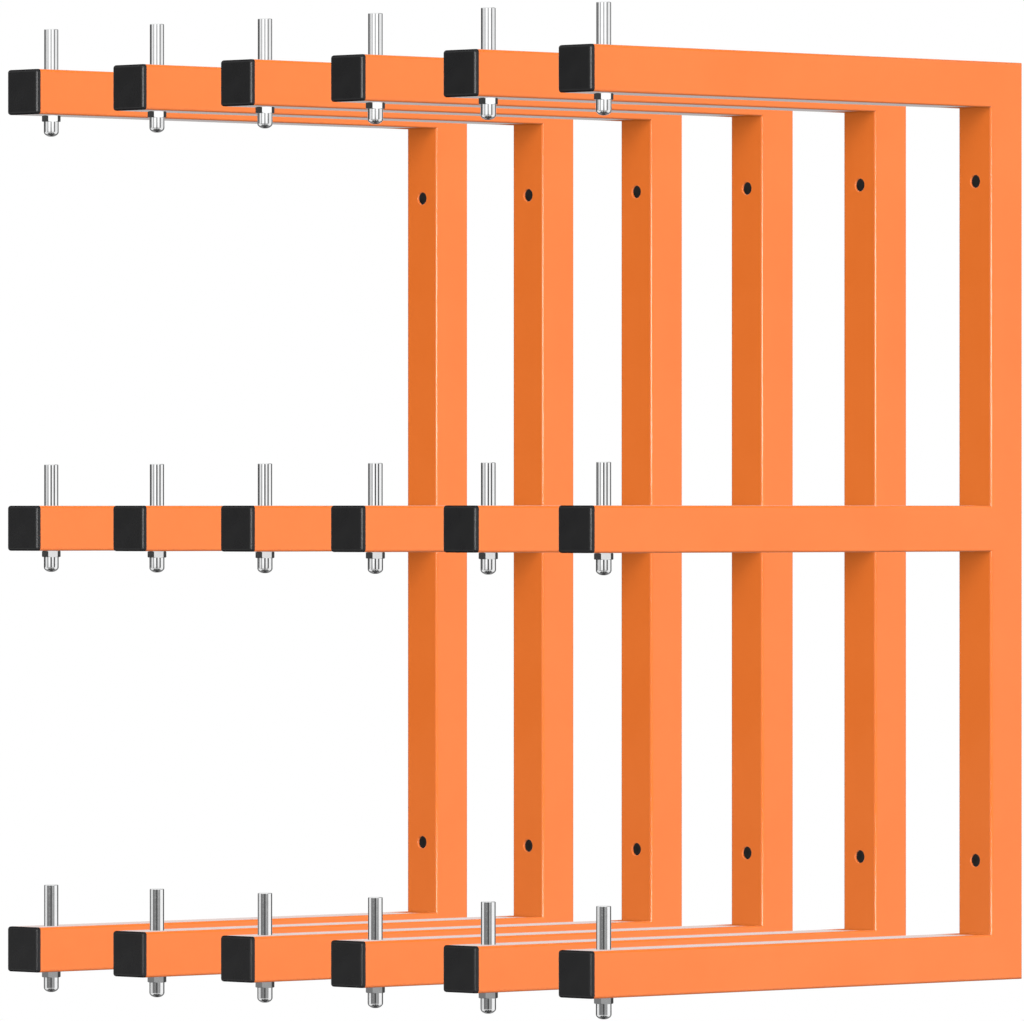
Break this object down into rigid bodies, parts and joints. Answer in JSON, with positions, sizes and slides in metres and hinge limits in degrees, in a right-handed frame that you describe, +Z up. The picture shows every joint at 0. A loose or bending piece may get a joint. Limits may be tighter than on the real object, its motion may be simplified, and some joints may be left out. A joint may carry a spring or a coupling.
{
  "type": "lumber rack",
  "caption": "Wall-mounted lumber rack: a row of E-shaped brackets of orange square steel tube, arms with black end caps and chromed stop pins held by cap nuts.",
  "frame": {"origin": "on the wall plane, at the middle of the row, level with the underside of the bottom arms", "axes": "+X along the row of brackets, +Y into the wall, so the arms reach along -Y, +Z up"},
  "size_m": [0.55, 0.4, 0.6416],
  "materials": {
    "orange_powder_coat": "glossy powder coat over steel tube",
    "black_plastic": "moulded black plastic with a soft sheen",
    "chromed_pin": "polished chrome plate",
    "chromed_nut": "bright chrome plate"
  },
  "bodies": {
    "root": {"bracket_1_frame": "orange_powder_coat", "bracket_1_bottom_end_cap": "black_plastic", "bracket_1_bottom_stop_pin": "chromed_pin", "bracket_1_bottom_cap_nut": "chromed_nut", "bracket_1_middle_end_cap": "black_plastic", "bracket_1_middle_stop_pin": "chromed_pin", "bracket_1_middle_cap_nut": "chromed_nut", "bracket_1_top_end_cap": "black_plastic", "bracket_1_top_stop_pin": "chromed_pin", "bracket_1_top_cap_nut": "chromed_nut", "bracket_2_frame": "orange_powder_coat", "bracket_2_bottom_end_cap": "black_plastic", "bracket_2_bottom_stop_pin": "chromed_pin", "bracket_2_bottom_cap_nut": "chromed_nut", "bracket_2_middle_end_cap": "black_plastic", "bracket_2_middle_stop_pin": "chromed_pin", "bracket_2_middle_cap_nut": "chromed_nut", "bracket_2_top_end_cap": "black_plastic", "bracket_2_top_stop_pin": "chromed_pin", "bracket_2_top_cap_nut": "chromed_nut", "bracket_3_frame": "orange_powder_coat", "bracket_3_bottom_end_cap": "black_plastic", "bracket_3_bottom_stop_pin": "chromed_pin", "bracket_3_bottom_cap_nut": "chromed_nut", "bracket_3_middle_end_cap": "black_plastic", "bracket_3_middle_stop_pin": "chromed_pin", "bracket_3_middle_cap_nut": "chromed_nut", "bracket_3_top_end_cap": "black_plastic", "bracket_3_top_stop_pin": "chromed_pin", "bracket_3_top_cap_nut": "chromed_nut", "bracket_4_frame": "orange_powder_coat", "bracket_4_bottom_end_cap": "black_plastic", "bracket_4_bottom_stop_pin": "chromed_pin", "bracket_4_bottom_cap_nut": "chromed_nut", "bracket_4_middle_end_cap": "black_plastic", "bracket_4_middle_stop_pin": "chromed_pin", "bracket_4_middle_cap_nut": "chromed_nut", "bracket_4_top_end_cap": "black_plastic", "bracket_4_top_stop_pin": "chromed_pin", "bracket_4_top_cap_nut": "chromed_nut", "bracket_5_frame": "orange_powder_coat", "bracket_5_bottom_end_cap": "black_plastic", "bracket_5_bottom_stop_pin": "chromed_pin", "bracket_5_bottom_cap_nut": "chromed_nut", "bracket_5_middle_end_cap": "black_plastic", "bracket_5_middle_stop_pin": "chromed_pin", "bracket_5_middle_cap_nut": "chromed_nut", "bracket_5_top_end_cap": "black_plastic", "bracket_5_top_stop_pin": "chromed_pin", "bracket_5_top_cap_nut": "chromed_nut", "bracket_6_frame": "orange_powder_coat", "bracket_6_bottom_end_cap": "black_plastic", "bracket_6_bottom_stop_pin": "chromed_pin", "bracket_6_bottom_cap_nut": "chromed_nut", "bracket_6_middle_end_cap": "black_plastic", "bracket_6_middle_stop_pin": "chromed_pin", "bracket_6_middle_cap_nut": "chromed_nut", "bracket_6_top_end_cap": "black_plastic", "bracket_6_top_stop_pin": "chromed_pin", "bracket_6_top_cap_nut": "chromed_nut"}
  },
  "joints": []
}
